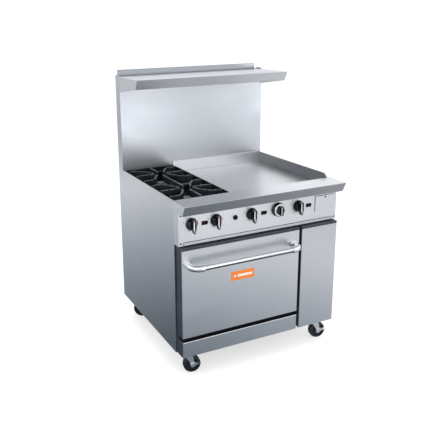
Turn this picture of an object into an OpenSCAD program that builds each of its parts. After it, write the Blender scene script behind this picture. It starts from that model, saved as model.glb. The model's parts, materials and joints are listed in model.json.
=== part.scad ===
// Commercial gas range: two open burners, a griddle, one oven, a backguard with a high shelf, casters.
// X runs along the width, the front faces -Y and Z is up. The origin is the middle of the footprint
// on the floor. A depth, such as body_d, is measured forwards from the rear face of the body.

/* [Body] */
// Overall width
body_w = 914; // [900:2:940]
// Depth of the side panels
body_d = 745; // [725:5:765]
// Height of the underside above the floor
body_z = 128; // [126:1:134]
// Height of the cooking surface
top_z = 916; // [910:2:930]
// Thickness of the visible sheet metal
sheet = 2; // [1.5:0.5:2.5]

/* [Front] */
// How far the control panel stands out from the side panels
panel_proud = 50; // [45:1:55]
// How far the door, kick panel and right panel stand out from the side panels
door_proud = 67; // [62:1:70]
// How far the top edge of the front ledge stands out
ledge_proud = 121; // [110:1:130]
// How far the lower edge of the front ledge is set back from its top edge
ledge_undercut = 24; // [15:1:30]
// Height of the front ledge
ledge_h = 50; // [46:1:54]
// Right edge of the oven door
door_right = 217; // [212:1:222]
// Upright gap between the oven door and the right panel
panel_gap = 18; // [14:1:22]
// Top of the oven door
door_top = 698; // [694:1:700]
// Bottom of the oven door
door_bottom = 232; // [228:1:236]
// Top of the kick panel
kick_top = 208; // [200:1:210]

/* [Handle] */
// Radius of the handle bar
bar_r = 13; // [11:0.5:14]
// Radius of the elbows
elbow_r = 16; // [14.5:0.5:17]
// Distance of the bar's axis from the door
bar_out = 62; // [55:1:66]
// Height of the bar's axis
bar_z = 612; // [590:1:630]
// Bend radius of the elbows
bend_r = 42; // [36:1:44]

/* [Cooktop] */
// Left side of the griddle
griddle_x = -148; // [-152:1:-140]
// Thickness of the griddle plate
griddle_t = 20; // [15:1:22]
// Depth of the griddle surface below the cooking surface
griddle_drop = 44; // [40:1:48]
// Height of the griddle splash guard above the cooking surface
splash_h = 20; // [15:1:30]
// Depth of one grate
grate_d = 326; // [320:1:330]
// Thickness of a grate finger
finger_t = 9; // [7:0.5:11]

/* [Backguard] */
// Depth of the riser
riser_d = 65; // [60:1:70]
// Height of the high shelf surface
shelf_z = 1440; // [1400:5:1480]
// Depth of the high shelf from the rear of the body
shelf_d = 330; // [300:5:350]
// Height of the shelf lip
lip_h = 50; // [45:1:55]
// How far the lower edge of the shelf lip is set back
lip_undercut = 25; // [15:1:30]
// Height of the upstand behind the shelf
upstand_h = 34; // [25:1:50]

/* [Casters] */
// Wheel radius
wheel_r = 45; // [44:1:50]
// Wheel width
wheel_w = 31; // [28:1:34]
// Distance of the wheel axle from the swivel axis
trail = 20; // [18:1:28]
// Angle at which the front casters stand
front_swivel = -12; // [-45:1:0]
// Angle at which the rear casters stand
rear_swivel = -40; // [-45:1:0]

/* [Gas] */
// Radius of the 3/4 inch gas pipe
pipe_r = 13.35; // [13.35:0.05:13.35]
// How far the gas inlet reaches behind the body
inlet_out = 40; // [35:1:45]

/* [Hidden] */
$fn = 48;

hw = body_w / 2;
// The bar and its elbows reach furthest forwards, and the gas inlet reaches furthest back.
front_reach = body_d + door_proud + bar_out + elbow_r;
back_y = (front_reach + inlet_out) / 2 - inlet_out;

panel_d = body_d + panel_proud;
door_d = body_d + door_proud;
ledge_d = body_d + ledge_proud;
ledge_z = top_z - ledge_h;
seam_z = top_z - 32;
panel_z = door_top + 6;
frame_z = body_z + 38;
panel_left = door_right + panel_gap;
door_left = 7 - hw;
door_mid = (door_left + door_right) / 2;
inner = hw - sheet;

// Oven cavity
cavity_l = door_left + 46;
cavity_r = door_right - 45;
cavity_z0 = 300;
cavity_z1 = 655;
cavity_d0 = 150;

// Door hinge axis
hinge_d = door_d - 18;
hinge_z = door_bottom + 26;
hinge_r = 6;
hinge_sides = [[door_left + 28, -1], [door_right - 28, 1]];

// Handle: its axis, and how far each elbow's foot is from the middle of the door
bar_d = door_d + bar_out;
leg_out = 302;

// Crumb tray, grease drawer and gas line
tray_hw = hw - 27;
tray_z = panel_z + 1.3;
tray_h = 14;
drawer_l = 322;
drawer_r = 448;
drawer_z0 = 763;
drawer_z1 = 843;
control_z = 808;
manifold_d = body_d + 5;
manifold_z = control_z - 32;
feed_end = manifold_d - 18;
inlet_x = 305;
knob_x = [-388, -258, -60, 216];
thermostat_x = 94;
button_x = -152;
button_z = 804;
slot_x = [-318, 12, 282];
screw_low = panel_z + 14;
screw_high = drawer_z1 + 11;
screws = [for (x = [-hw + 12, hw - 12], z = [screw_low, screw_high]) [x, z]];
cradle_r = inner - 21;
running_gap = 0.05;

// Cooktop
box_l = -hw + 8;
box_r = griddle_x - 2;
box_d0 = riser_d + 1;
box_d1 = body_d - 8;
grate_z = top_z - 40;
grate_mid_x = (box_l + box_r) / 2;
grate_w = box_r - box_l - 10;
grate_gap = 3;
grate_mids = [for (i = [0, 1]) box_d0 + 4 + grate_d * (i + 0.5) + grate_gap * i];
burner_z = top_z - 50;
griddle_z = top_z - griddle_drop;
griddle_r = hw - 11;

// Casters: [x, depth, swivel angle]
caster_x = hw - 67;
caster_front = body_d - 7;
caster_rear = 56;
casters = [[-caster_x, caster_front, front_swivel], [caster_x, caster_front, front_swivel],
    [-caster_x, caster_rear, rear_swivel], [caster_x, caster_rear, rear_swivel]];
axle_r = 6;
fork_in = wheel_w / 2 + 3;
fork_out = fork_in + 3;
crown_z = 2 * wheel_r + 8;
race_z = crown_z + 9;

steel = [0.78, 0.79, 0.81];
dark_steel = [0.45, 0.47, 0.50];
black = [0.07, 0.07, 0.08];
zinc = [0.72, 0.73, 0.74];

// A block between two widths, two depths and two heights
module slab(x0, x1, d0, d1, z0, z1) {
    translate([x0, back_y - d1, z0]) cube([x1 - x0, d1 - d0, z1 - z0]);
}

// An outline of [depth, height] points, extruded along X
module along_x(x0, x1, points) {
    translate([x0, back_y, 0]) rotate([90, 0, 90])
        linear_extrude(x1 - x0) polygon([for (p = points) [-p[0], p[1]]]);
}

module rod_x(x0, x1, d, z, r) {
    translate([x0, back_y - d, z]) rotate([0, 90, 0]) cylinder(h = x1 - x0, r = r);
}

module rod_d(x, d0, d1, z, r) {
    translate([x, back_y - d0, z]) rotate([90, 0, 0]) cylinder(h = d1 - d0, r = r);
}

module rod_z(x, d, z0, z1, r) {
    translate([x, back_y - d, z0]) cylinder(h = z1 - z0, r = r);
}

// A cone along the depth, from radius r0 at d0 to radius r1 at d1
module cone_d(x, d0, d1, z, r0, r1) {
    translate([x, back_y - d0, z]) rotate([90, 0, 0]) cylinder(h = d1 - d0, r1 = r0, r2 = r1);
}

// Points of an arc in the plane, for rounded outlines
function arc(c, r, a0, a1, n = 10) =
    [for (i = [0 : n]) let (a = a0 + (a1 - a0) * i / n) [c[0] + r * cos(a), c[1] + r * sin(a)]];

module mirror_x() {
    children();
    mirror([1, 0, 0]) children();
}

// ---------------------------------------------------------------- body

module base_frame() {
    color(dark_steel) {
        difference() {
            slab(-inner, inner, 2, body_d - 4, body_z, frame_z - sheet);
            slab(-inner + 34, inner - 34, 36, body_d - 38, body_z - 1, frame_z);
        }
        slab(-inner, inner, 2, body_d - 4, frame_z - sheet, frame_z);
        // Corner gussets, and stubs under the door and the right panel for the front casters
        mirror_x() {
            for (d = [35, body_d - 37 - 80])
                slab(inner - 33 - 70, inner - 33, d, d + 80, body_z, body_z + 4);
            slab(inner - 110, inner - 21, body_d - 8, door_d - 12, body_z + 3, frame_z - 3);
        }
    }
}

// Outer skin with folded returns at the front, the rear and the top
module side_panel() {
    slab(-hw, -inner, 0, body_d, body_z, ledge_z);
    slab(-hw, -inner, 0, box_d1, ledge_z, seam_z);
    slab(-inner, -inner + 20, body_d - sheet, body_d, body_z, ledge_z);
    slab(-inner, -inner + 20, 0, sheet, body_z, seam_z);
    slab(-inner, -inner + 6, sheet, box_d1, seam_z - sheet, seam_z);
}

module left_side_panel() {
    color(steel) side_panel();
}

module right_side_panel() {
    color(steel) mirror([1, 0, 0]) side_panel();
}

module back_panel() {
    color(steel) difference() {
        slab(-inner + 21, inner - 21, 0, sheet, frame_z + 1, seam_z);
        for (i = [-6 : 6], z = [620, 680])
            slab(i * 42 - 15, i * 42 + 15, -1, sheet + 1, z, z + 8);
        rod_d(inlet_x, -1, sheet + 1, manifold_z, pipe_r + 4);
    }
}

// Inner front of the body, behind the door, the kick panel and the right panel
module front_frame() {
    color(black) difference() {
        slab(-inner + 21, inner - 21, body_d - 3, body_d, frame_z, panel_z - 0.5);
        slab(cavity_l, cavity_r, body_d - 4, body_d + 1, cavity_z0, cavity_z1);
        slab(panel_left + 20, inner - 45, body_d - 4, body_d + 1, 200, panel_z - 20);
    }
}

module cooktop_frame() {
    color(steel) {
        mirror_x() {
            slab(-hw, -inner, 0, box_d1, seam_z, top_z);
            slab(-inner, box_l - 1, box_d0, box_d1, top_z - sheet, top_z);
            slab(box_l - 3, box_l - 1, box_d0, box_d1, top_z - 14, top_z - sheet);
        }
        slab(-inner, inner, 40, riser_d - 3, seam_z - 28, seam_z - 3);
    }
}

// Folded ledge, open underneath, with closed ends
module front_ledge() {
    rear = box_d1;
    low = ledge_d - ledge_undercut;
    color(steel) difference() {
        along_x(-hw, hw, [[rear, ledge_z], [low, ledge_z], [ledge_d - 0.6, top_z - 1.2],
            [ledge_d - 2, top_z], [rear, top_z]]);
        along_x(-hw + sheet, hw - sheet, [[rear + sheet, ledge_z + sheet],
            [low - sheet, ledge_z + sheet], [ledge_d - 4, top_z - sheet], [rear + sheet, top_z - sheet]]);
        slab(-hw + sheet, hw - sheet, rear + 22, low - 18, ledge_z - 1, ledge_z + sheet + 1);
    }
}

module slot_cut(x) {
    slab(x - 18, x + 8, panel_d - 5, panel_d + 1, control_z - 15, control_z + 5);
    rod_d(x + 8, panel_d - 5, panel_d + 1, control_z - 5, 10);
}

module control_panel() {
    notch_z = tray_z + tray_h + 3;
    color(steel) slab(-inner, inner, body_d, panel_d - sheet, notch_z, notch_z + sheet);
    color(steel) difference() {
        slab(-hw, hw, body_d, panel_d, panel_z, ledge_z);
        slab(-hw + sheet, hw - sheet, body_d - 1, panel_d - sheet, panel_z - 1, ledge_z - sheet);
        slab(-tray_hw - 2, tray_hw + 2, body_d - 1, panel_d + 1, panel_z - 1, notch_z);
        for (x = knob_x)
            rod_d(x, panel_d - 5, panel_d + 1, control_z, 7);
        rod_d(thermostat_x, panel_d - 5, panel_d + 1, control_z, 7);
        rod_d(button_x, panel_d - 5, panel_d + 1, button_z, 10.5);
        for (x = slot_x)
            slot_cut(x);
        slab(drawer_l + 3, drawer_r - 3, panel_d - 5, panel_d + 1, drawer_z0 + 2.5, drawer_z1 - 1);
        for (p = screws)
            rod_d(p[0], panel_d - 5, panel_d + 1, p[1], 2.1);
    }
}

// A shallow box of sheet metal, open at the rear
module cover(x0, x1, d0, d1, z0, z1) {
    difference() {
        slab(x0, x1, d0, d1, z0, z1);
        slab(x0 + sheet, x1 - sheet, d0 - 1, d1 - sheet, z0 + sheet, z1 - sheet);
    }
}

module right_front_panel() {
    color(steel) cover(panel_left, hw - 2, body_d, door_d, body_z, door_top);
}

module kick_panel() {
    color(steel) cover(door_left, door_right, body_d, door_d, body_z, kick_top);
}

module riser_front() {
    color(steel) {
        slab(-hw, hw, riser_d - sheet, riser_d, top_z, shelf_z - sheet);
        slab(-inner + 7, inner - 7, riser_d - sheet, riser_d, seam_z - 28, top_z);
        mirror_x() slab(-hw, -inner, sheet, riser_d - sheet, top_z, shelf_z + 8);
    }
}

module riser_back() {
    color(steel) {
        slab(-inner, inner, 0, sheet, seam_z, shelf_z);
        slab(-hw + 12, hw - 12, 0, sheet, shelf_z, shelf_z + upstand_h);
        slab(-hw + 12, hw - 12, sheet, 12, shelf_z + upstand_h - sheet, shelf_z + upstand_h);
    }
}

module high_shelf() {
    rear = 36;
    low = shelf_d - lip_undercut;
    lip = [[low, shelf_z - lip_h], [low - sheet, shelf_z - lip_h], [shelf_d - sheet - 1, shelf_z - sheet],
        [shelf_d - sheet - 1, shelf_z], [shelf_d, shelf_z]];
    gusset = [[riser_d, shelf_z - lip_h - 33], [low, shelf_z - lip_h], [shelf_d, shelf_z],
        [riser_d, shelf_z]];
    color(steel) {
        slab(-inner, inner, rear, shelf_d - sheet, shelf_z - sheet, shelf_z);
        along_x(-hw, hw, lip);
        slab(-inner, inner, low - 14, low, shelf_z - lip_h, shelf_z - lip_h + sheet);
        mirror_x() {
            along_x(-hw, -inner, gusset);
            slab(-inner, -inner + 16, riser_d, riser_d + sheet, shelf_z - lip_h - 33, shelf_z - sheet);
        }
    }
}

// ---------------------------------------------------------------- cooktop

// Black tub around the open burners, with a rest along each side for the grates
module burner_box() {
    floor_z = burner_z - 34;
    rest_w = 11;
    color(black) difference() {
        union() {
            difference() {
                slab(box_l, box_r, box_d0, box_d1, floor_z, top_z - 4);
                slab(box_l + sheet, box_r - sheet, box_d0 + sheet, box_d1 - sheet, floor_z + sheet, top_z);
            }
            for (x = [box_l + sheet, box_r - sheet - rest_w])
                slab(x, x + rest_w, box_d0 + sheet, box_d1 - sheet, grate_z - 5, grate_z - 0.3);
        }
        for (m = grate_mids)
            rod_z(grate_mid_x, m, floor_z - 1, floor_z + sheet + 1, 30);
    }
}

// A burner head on a neck, with a ring of ports
module burner_head(d) {
    difference() {
        union() {
            rod_z(grate_mid_x, d, control_z - 12, burner_z - 22, 20);
            rod_z(grate_mid_x, d, burner_z - 24, burner_z - 8, 46);
            rod_z(grate_mid_x, d, burner_z - 8, burner_z - 4, 40);
            rod_z(grate_mid_x, d, burner_z - 4, burner_z, 26);
        }
        for (a = [0 : 15 : 345])
            translate([grate_mid_x, back_y - d, burner_z - 12]) rotate([0, 0, a])
                translate([30, -1.5, 0]) cube([20, 3, 5]);
    }
}

module open_burners() {
    pipe = 11;
    color([0.2, 0.2, 0.21]) {
        for (m = grate_mids)
            burner_head(m);
        // The rear burner's tube runs past the front burner and turns in behind it
        rod_d(knob_x[0], grate_mids[0], feed_end, control_z, pipe);
        rod_x(knob_x[0], grate_mid_x, grate_mids[0], control_z, pipe);
        rod_d(knob_x[1], grate_mids[1], feed_end, control_z, pipe);
        rod_x(grate_mid_x, knob_x[1], grate_mids[1], control_z, pipe);
    }
}

// One finger of a grate: an upright blade along a path of [x, depth] points
function normal_at(p, i) =
    let (a = p[max(i - 1, 0)], b = p[min(i + 1, len(p) - 1)], v = b - a) [-v[1], v[0]] / norm(v);

module finger(path, z0, z1) {
    side = [for (i = [0 : len(path) - 1]) normal_at(path, i) * finger_t / 2];
    outline = concat([for (i = [0 : len(path) - 1]) path[i] + side[i]],
        [for (i = [len(path) - 1 : -1 : 0]) path[i] - side[i]]);
    translate([0, 0, z0]) linear_extrude(z1 - z0) polygon(outline);
}

// Corner finger: out of the side rail, then bending towards the burner
function corner_finger(w, spread) =
    concat([[w, spread], [w - 34, spread]],
        [for (i = [1 : 6]) let (t = i / 6) [w - 34 - (w - 66) * t, spread - (spread - 20) * t * t]]);

module grate() {
    w = grate_w / 2;
    d = grate_d / 2;
    spread = d * 0.68;
    fingers_z = grate_z + 6;
    color(black) {
        difference() {
            translate([-w, -d, grate_z]) cube([2 * w, 2 * d, 13]);
            translate([-w + 12, -d + 12, grate_z - 1]) cube([2 * w - 24, 2 * d - 24, 15]);
        }
        for (sx = [-1, 1]) {
            finger([[sx * (w - 4), 0], [sx * 34, 0]], fingers_z, top_z + 2);
            for (sd = [-1, 1])
                finger([for (p = corner_finger(w - 4, spread)) [sx * p[0], sd * p[1]]],
                    fingers_z, top_z + 2);
        }
        for (sd = [-1, 1])
            finger([[0, sd * (d - 2)], [0, sd * 36]], fingers_z, top_z + 2);
    }
}

module grate_at(i) {
    translate([grate_mid_x, back_y - grate_mids[i], 0]) grate();
}

module grate_front() {
    grate_at(1);
}

module grate_rear() {
    grate_at(0);
}

module griddle_plate() {
    color([0.66, 0.67, 0.69]) slab(griddle_x + 10, griddle_r - 8, box_d0 + 8, box_d1 - 26,
        griddle_z - griddle_t, griddle_z);
}

module griddle_splash() {
    wall = 7;
    low = griddle_z - griddle_t;
    high = top_z + splash_h;
    color(steel) {
        slab(griddle_x, griddle_x + wall, box_d0, box_d1, low, top_z - 1);
        slab(griddle_x + wall, griddle_r - wall, box_d0, box_d0 + 5, low, high);
        slab(griddle_x, griddle_x + wall, box_d0, box_d0 + 5, top_z - 1, high);
        along_x(griddle_r - wall, griddle_r, [[box_d0, low], [box_d1, low], [box_d1, top_z - 1],
            [box_d1 - 26, high], [box_d0, high]]);
    }
}

module griddle_burner(x, feed_x) {
    z = control_z + 4;
    for (s = [-1, 1])
        rod_d(x + s * 48, 120, 600, z, 13);
    rod_x(x - 48, x + 48, 120, z, 13);
    rod_x(x - 48, x + 48, 600, z, 13);
    rod_d(feed_x, 600, feed_end, control_z, 11);
}

module griddle_burners() {
    color([0.55, 0.55, 0.56]) {
        griddle_burner(-12, knob_x[2]);
        griddle_burner(216, knob_x[3]);
    }
}

module grease_trough() {
    color(steel) difference() {
        slab(griddle_x + 10, griddle_r - 8, box_d1 - 25, box_d1 - 1, drawer_z1 + 1, ledge_z + 4);
        slab(griddle_x + 12, griddle_r - 10, box_d1 - 23, box_d1 - 3, drawer_z1 + 3, ledge_z + 5);
        slab(370, 402, box_d1 - 21, box_d1 - 5, drawer_z1, drawer_z1 + 4);
    }
}

// ---------------------------------------------------------------- oven

module oven_liner() {
    low = 200;
    color([0.35, 0.36, 0.38]) {
        difference() {
            slab(cavity_l - sheet, cavity_r + sheet, cavity_d0 - sheet, body_d - 3, low, cavity_z1 + sheet);
            slab(cavity_l, cavity_r, cavity_d0, body_d, low + sheet, cavity_z1);
            rod_x(cavity_r - 1, cavity_r + sheet + 1, 640, 240, 11.3);
            for (i = [-2 : 2])
                slab(door_mid + i * 60 - 20, door_mid + i * 60 + 20, cavity_d0 - 3, cavity_d0 + 1,
                    cavity_z1 - 30, cavity_z1 - 18);
        }
        for (x = [cavity_l, cavity_r - 12])
            slab(x, x + 12, cavity_d0, body_d - 8, cavity_z0 - 8, cavity_z0 - 4);
    }
}

module oven_hearth() {
    color([0.30, 0.31, 0.33]) difference() {
        slab(cavity_l + 2, cavity_r - 2, cavity_d0 + 2, body_d - 8, cavity_z0 - 4, cavity_z0);
        for (x = [cavity_l + 22, cavity_r - 34], i = [0 : 4])
            slab(x, x + 12, 190 + i * 105, 260 + i * 105, cavity_z0 - 5, cavity_z0 + 1);
    }
}

module oven_burner() {
    z = 240;
    color([0.25, 0.25, 0.26]) {
        for (s = [-1, 1])
            rod_d(door_mid + s * 100, 220, 640, z, 13);
        rod_x(door_mid - 100, door_mid + 100, 220, z, 13);
        rod_x(door_mid - 100, cavity_r + 24, 640, z, 11);
    }
}

// Wire ladders on both side walls of the cavity
module rack_guides() {
    wire = 3;
    color("silver") for (x = [cavity_l + wire + 0.5, cavity_r - wire - 0.5]) {
        for (d = [210, body_d - 60])
            rod_z(x, d, cavity_z0 + 15, cavity_z1 - 20, wire);
        for (z = [360 : 60 : 600])
            rod_d(x + sign(door_mid - x) * 4, 170, body_d - 30, z, wire);
    }
}

module oven_rack(z) {
    l = cavity_l + 10.5;
    r = cavity_r - 10.5;
    d0 = 175;
    d1 = body_d - 35;
    for (d = [d0, d1])
        rod_x(l, r, d, z, 3.5);
    for (x = [l, r])
        rod_d(x, d0, d1, z, 3.5);
    for (i = [1 : 17])
        rod_d(l + (r - l) * i / 18, d0 - 3, d1 + 3, z + 4.5, 2.2);
}

module oven_racks() {
    color("silver") {
        oven_rack(366.6);
        oven_rack(486.6);
    }
}

// ---------------------------------------------------------------- gas line and controls

module gas_manifold() {
    color(black) {
        rod_x(-hw + 30, inlet_x, manifold_d, manifold_z, pipe_r);
        translate([inlet_x, back_y - manifold_d, manifold_z]) sphere(r = pipe_r + 2);
    }
}

// The inlet stub behind the body, its flange on the back panel and the pipe inside
module gas_inlet_pipe() {
    color(zinc) {
        rod_d(inlet_x, -inlet_out, -4, manifold_z, pipe_r);
        rod_d(inlet_x, -4, -0.5, manifold_z, pipe_r + 8);
        rod_d(inlet_x, -0.5, manifold_d - pipe_r - 2.2, manifold_z, pipe_r - 1);
    }
}

// Stands on the manifold, with its stem forwards and its nozzle backwards
module gas_valve(x, w, h) {
    difference() {
        union() {
            rod_z(x, manifold_d, manifold_z, control_z, 8);
            slab(x - w, x + w, manifold_d - 12, manifold_d + 16, control_z - 11, control_z + h);
            rod_d(x, manifold_d + 16, panel_d - sheet - 8, control_z, 9);
        }
        rod_x(x - 20, x + 20, manifold_d, manifold_z, pipe_r + running_gap);
    }
}

module gas_valves() {
    color([0.75, 0.62, 0.30]) for (x = knob_x) {
        gas_valve(x, 11, 11);
        rod_d(x, feed_end + 1, manifold_d - 12, control_z, 4);
    }
}

module thermostat_body() {
    color(zinc) {
        gas_valve(thermostat_x, 27, 28);
        rod_x(door_mid, door_mid + 150, 300, cavity_z1 - 12, 3.5);
    }
}

// Body behind the panel and the bezel round the button
module piezo_igniter() {
    color(black) difference() {
        union() {
            rod_d(button_x, manifold_d + 16, panel_d, button_z, 10.4);
            rod_d(button_x, panel_d, panel_d + 3, button_z, 12.5);
        }
        rod_d(button_x, manifold_d + 19, panel_d + 4, button_z, 9 + running_gap);
    }
}

// Angles under the crumb tray and the cradle of the grease drawer
module tray_runners() {
    color(dark_steel) {
        mirror_x() {
            slab(-inner, -tray_hw + 16, 60, body_d - 4, panel_z - 1.5, panel_z + 0.5);
            slab(-inner, -inner + sheet, 60, body_d - 4, panel_z + 0.5, panel_z + 40);
        }
        slab(drawer_l, cradle_r, 500, panel_d - sheet, drawer_z0 + 0.5, drawer_z0 + 2.5);
        for (x = [drawer_l, cradle_r - sheet])
            slab(x, x + sheet, 500, panel_d - sheet, drawer_z0 + 2.5, drawer_z0 + 24);
    }
}

// Fixed arms that carry the door on two stub pins
module hinge_pins() {
    color(zinc) for (side = hinge_sides) {
        x = side[0];
        s = side[1];
        slab(x - 3, x + 3, body_d, hinge_d, hinge_z - 8, hinge_z + 8);
        rod_x(x - 3, x + 3, hinge_d, hinge_z, 8);
        rod_x(min(x, x + s * 22), max(x, x + s * 22), hinge_d, hinge_z, hinge_r);
    }
}

// Screws at both ends of the control panel
module panel_screws() {
    color(zinc) for (p = screws) {
        rod_d(p[0], panel_d, panel_d + 1.2, p[1], 4);
        rod_d(p[0], panel_d - 6, panel_d, p[1], 2);
    }
}

// ---------------------------------------------------------------- oven door

// Side outline of the door: its lower rear corner is rounded so that it clears the body
function door_outline(inset, rear) =
    let (r = 50, c = [body_d + 8 + r, door_bottom + r], face = door_d - inset, high = door_top - inset)
    concat([[face, door_bottom + inset], [face, high], [rear, high]],
        inset > 0 ? [[rear, c[1] + inset]] : [],
        arc(c, r - inset, 180, 270));

module door_shell() {
    color(steel) difference() {
        along_x(door_left, door_right, door_outline(0, body_d + 8));
        along_x(door_left + sheet, door_right - sheet, door_outline(sheet, body_d + 2));
        for (side = hinge_sides)
            slab(side[0] - 5, side[0] + 5, body_d + 7, hinge_d + 10, door_bottom - 1, hinge_z + 10);
    }
}

module door_liner() {
    rear = body_d + 6;
    color([0.55, 0.56, 0.58]) {
        difference() {
            slab(door_left + 1, door_right - 1, rear, rear + sheet, door_bottom + 54, door_top - 1);
            slab(cavity_l + 24, cavity_r - 24, rear - 1, rear + sheet + 1, cavity_z0 + 28, cavity_z1 - 28);
        }
        difference() {
            slab(cavity_l + 22, cavity_r - 22, rear, rear + 12, cavity_z0 + 26, cavity_z1 - 26);
            slab(cavity_l + 24, cavity_r - 24, rear - 1, rear + 10, cavity_z0 + 28, cavity_z1 - 28);
        }
    }
}

module door_gasket() {
    rear = body_d + 0.3;
    color([0.25, 0.25, 0.26]) difference() {
        slab(cavity_l - 16, cavity_r + 16, rear, body_d + 6, cavity_z0 - 10, cavity_z1 + 16);
        slab(cavity_l - 6, cavity_r + 6, rear - 1, body_d + 7, cavity_z0 - 1, cavity_z1 + 6);
    }
}

module door_handle() {
    x = leg_out - bend_r - 12;
    color("silver") rod_x(door_mid - x, door_mid + x, bar_d, bar_z, bar_r);
}

// A chrome elbow: a foot on the door, a quarter bend and a collar on the bar
module elbow() {
    x = -leg_out;
    rod_d(x, door_d, door_d + 3, bar_z, elbow_r + 2.5);
    rod_d(x, door_d, bar_d - bend_r, bar_z, elbow_r);
    translate([x + bend_r, back_y - bar_d + bend_r, bar_z])
        rotate([0, 0, 180]) rotate_extrude(angle = 90) translate([bend_r, 0]) circle(r = elbow_r);
    rod_x(x + bend_r, x + bend_r + 12, bar_d, bar_z, elbow_r);
}

module handle_elbows() {
    color("white") for (s = [0, 1])
        translate([door_mid, 0, 0]) mirror([s, 0, 0]) elbow();
}

module door_badge() {
    w = 130;
    h = 46;
    z = 507;
    color("orange") {
        slab(door_mid - w / 2, door_mid + w / 2, door_d, door_d + 1.6, z - h / 2, z + h / 2);
        difference() {
            slab(door_mid - w / 2 + 4, door_mid + w / 2 - 4, door_d + 1.6, door_d + 2.2,
                z - h / 2 + 4, z + h / 2 - 4);
            slab(door_mid - w / 2 + 6, door_mid + w / 2 - 6, door_d + 1, door_d + 3,
                z - h / 2 + 6, z + h / 2 - 6);
        }
    }
}

module door_hinge_blocks() {
    color(zinc) for (side = hinge_sides) {
        x = side[0] + side[1] * 14;
        difference() {
            union() {
                slab(x - 9, x + 9, hinge_d - 4, door_d - sheet, hinge_z - 14, hinge_z + 70);
                rod_x(x - 9, x + 9, hinge_d, hinge_z, 14);
            }
            rod_x(x - 10, x + 10, hinge_d, hinge_z, hinge_r + running_gap);
        }
    }
}

// ---------------------------------------------------------------- drawers

module crumb_tray() {
    wall = 1.5;
    color(steel) {
        difference() {
            slab(-tray_hw + 2, tray_hw - 2, 70, panel_d - 6, tray_z, tray_z + tray_h - 2);
            slab(-tray_hw + 2 + wall, tray_hw - 2 - wall, 70 + wall, panel_d - 6 - wall,
                tray_z + wall, tray_z + tray_h);
        }
        slab(-tray_hw, tray_hw, panel_d - 6, panel_d + 1, tray_z, tray_z + tray_h);
    }
}

module grease_drawer() {
    wall = 1.5;
    l = drawer_l + sheet + 1;
    r = cradle_r - sheet - 1;
    floor_z = drawer_z0 + 3;
    color(steel) difference() {
        union() {
            slab(l, r, 520, panel_d + 0.3, floor_z, drawer_z1 - 6);
            slab(drawer_l, drawer_r, panel_d + 0.3, panel_d + 3, drawer_z0, drawer_z1);
        }
        slab(l + wall, r - wall, 520 + wall, panel_d + 0.3 - wall, floor_z + wall, drawer_z1);
        rod_d((drawer_l + drawer_r) / 2, panel_d - 4, panel_d + 4, drawer_z1 - 9, 5);
    }
}

// ---------------------------------------------------------------- knobs and button

// Round skirt, collar and a grip that runs down to a point below the skirt
module burner_knob(x) {
    face = panel_d + 1.5;
    color(black) {
        rod_d(x, panel_d - 9.5, face + 4, control_z, 4);
        rod_d(x, face, face + 3, control_z, 30);
        cone_d(x, face + 3, face + 11, control_z, 30, 26);
        cone_d(x, face + 11, face + 20, control_z, 23, 21);
        translate([x, back_y - face - 11, control_z]) rotate([90, 0, 0]) linear_extrude(25)
            polygon([[-8, 24], [8, 24], [9, -12], [1.5, -40], [-1.5, -40], [-9, -12]]);
    }
}

module knob_1() {
    burner_knob(knob_x[0]);
}

module knob_2() {
    burner_knob(knob_x[1]);
}

module knob_3() {
    burner_knob(knob_x[2]);
}

module knob_4() {
    burner_knob(knob_x[3]);
}

// A wide black skirt, a pale dial ring and a grip bar
module thermostat_knob() {
    face = panel_d + 1.5;
    x = thermostat_x;
    color(black) {
        rod_d(x, panel_d - 9.5, face + 4, control_z, 4);
        cone_d(x, face, face + 14, control_z, 36, 34);
        cone_d(x, face + 14, face + 17, control_z, 34, 31);
        cone_d(x, face + 17, face + 30, control_z, 21, 19);
        translate([x, back_y - face - 17, control_z]) rotate([90, 0, 0]) linear_extrude(21)
            polygon([[-7, 24], [7, 24], [7, -24], [-7, -24]]);
    }
}

module igniter_button() {
    color(black) {
        rod_d(button_x, panel_d - 18, panel_d + 9, button_z, 9);
        cone_d(button_x, panel_d + 9, panel_d + 10.5, button_z, 9, 7.5);
    }
}

// ---------------------------------------------------------------- casters

module at_caster(i) {
    translate([casters[i][0], back_y - casters[i][1], 0]) rotate([0, 0, casters[i][2]]) children();
}

module caster_plates() {
    color(zinc) for (c = casters)
        translate([c[0], back_y - c[1], 0]) {
            difference() {
                translate([-46, -40, body_z - 3]) cube([92, 80, 3]);
                for (x = [-36, 36], y = [-30, 30])
                    translate([x, y, body_z - 4]) cylinder(h = 5, r = 4.5);
            }
            translate([0, 0, race_z]) cylinder(h = body_z - 3 - race_z, r = 26);
            for (x = [-36, 36], y = [-30, 30])
                translate([x, y, body_z - 9]) cylinder(h = 6, r = 7, $fn = 6);
        }
}

// One leg of the fork, from the crown down to the axle
module fork_leg(y0, y1) {
    translate([0, y1, 0]) rotate([90, 0, 0]) linear_extrude(y1 - y0)
        polygon(concat([[-19, crown_z + 1], [21, crown_z + 1], [trail + 11, wheel_r + 8]],
            arc([trail, wheel_r], 10, 0, -180), [[trail - 12, wheel_r + 14]]));
}

module fork(braked) {
    bolt = braked ? fork_out + 4 : fork_out + 1;
    color(zinc) {
        difference() {
            translate([0, 0, crown_z]) cylinder(h = race_z - crown_z - 0.3, r = 27);
            translate([0, 0, crown_z - 1]) cylinder(h = 3, r = 20);
        }
        translate([-21, -fork_out, crown_z]) cube([42, 2 * fork_out, 3]);
        fork_leg(-fork_out, -fork_in);
        fork_leg(fork_in, fork_out);
        translate([trail, fork_out + 4, wheel_r]) rotate([90, 0, 0])
            cylinder(h = fork_out + bolt + 4, r = axle_r - running_gap);
        translate([trail, fork_out + 4, wheel_r]) rotate([90, 0, 0]) cylinder(h = 4, r = 9, $fn = 6);
        translate([trail, -bolt, wheel_r]) rotate([90, 0, 0]) cylinder(h = 4, r = 9, $fn = 6);
    }
}

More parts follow.
